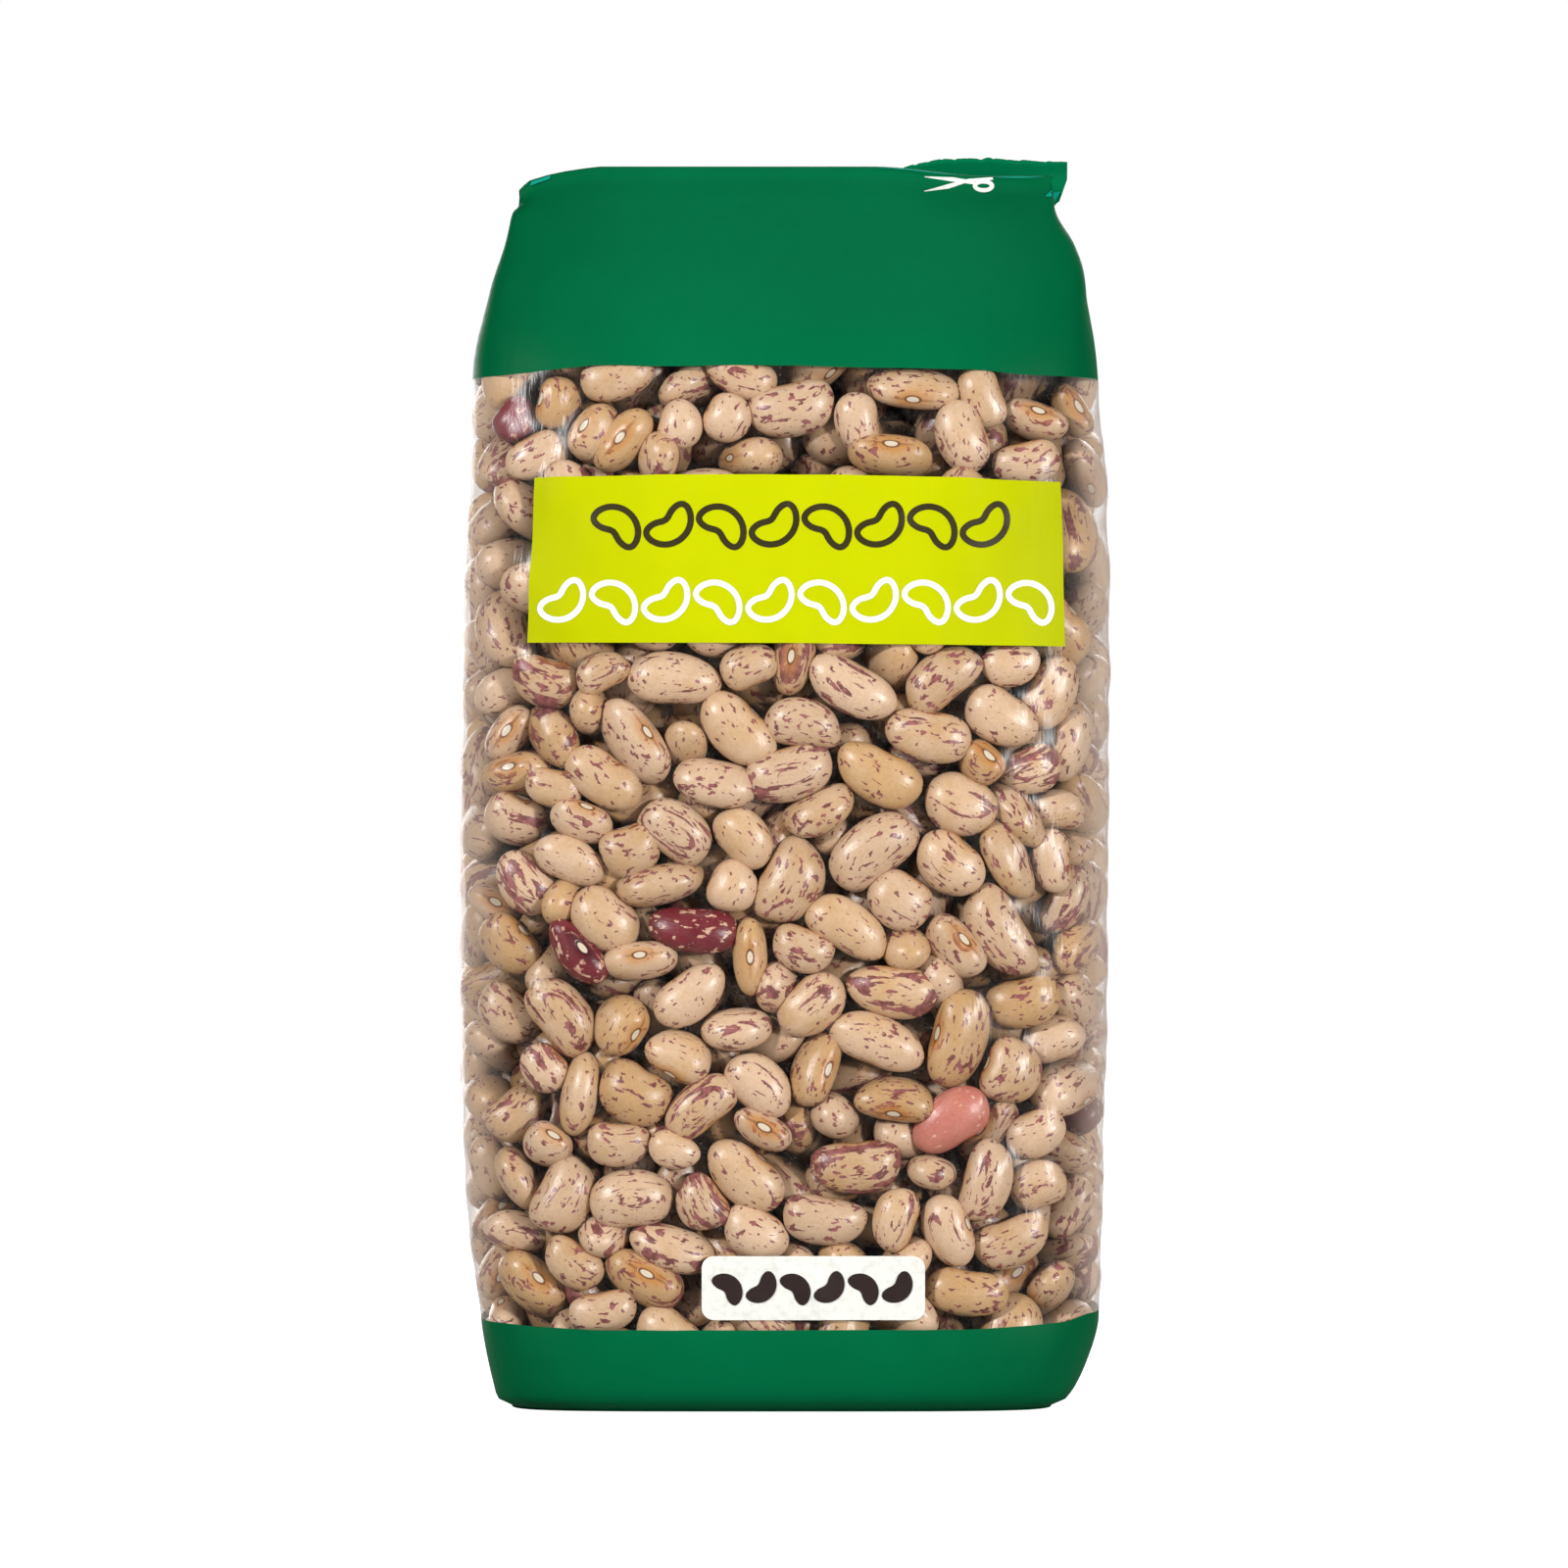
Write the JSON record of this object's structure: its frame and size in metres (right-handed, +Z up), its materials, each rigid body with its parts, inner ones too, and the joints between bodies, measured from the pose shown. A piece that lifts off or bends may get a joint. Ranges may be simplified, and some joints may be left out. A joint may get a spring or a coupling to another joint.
{
  "type": "bag of dried beans",
  "caption": "Sealed block-bottom bag of clear film, filled with dried speckled beans, with printed bands and label and a folded top.",
  "frame": {"origin": "middle of the base, on the surface the bag stands on", "axes": "+Z up the bag to its folded ridge, -Y out of the printed front, +X to the right as seen from the front"},
  "size_m": [0.1102, 0.0644, 0.2104],
  "materials": {
    "clear_film": "glossy clear film over speckled cream beans",
    "green_print": "glossy green printed film",
    "lime_print": "glossy lime yellow printed film",
    "beans": "smooth satin bean skin, cream with maroon speckles"
  },
  "bodies": {
    "root": {"bean_bag": "clear_film"}
  },
  "joints": []
}
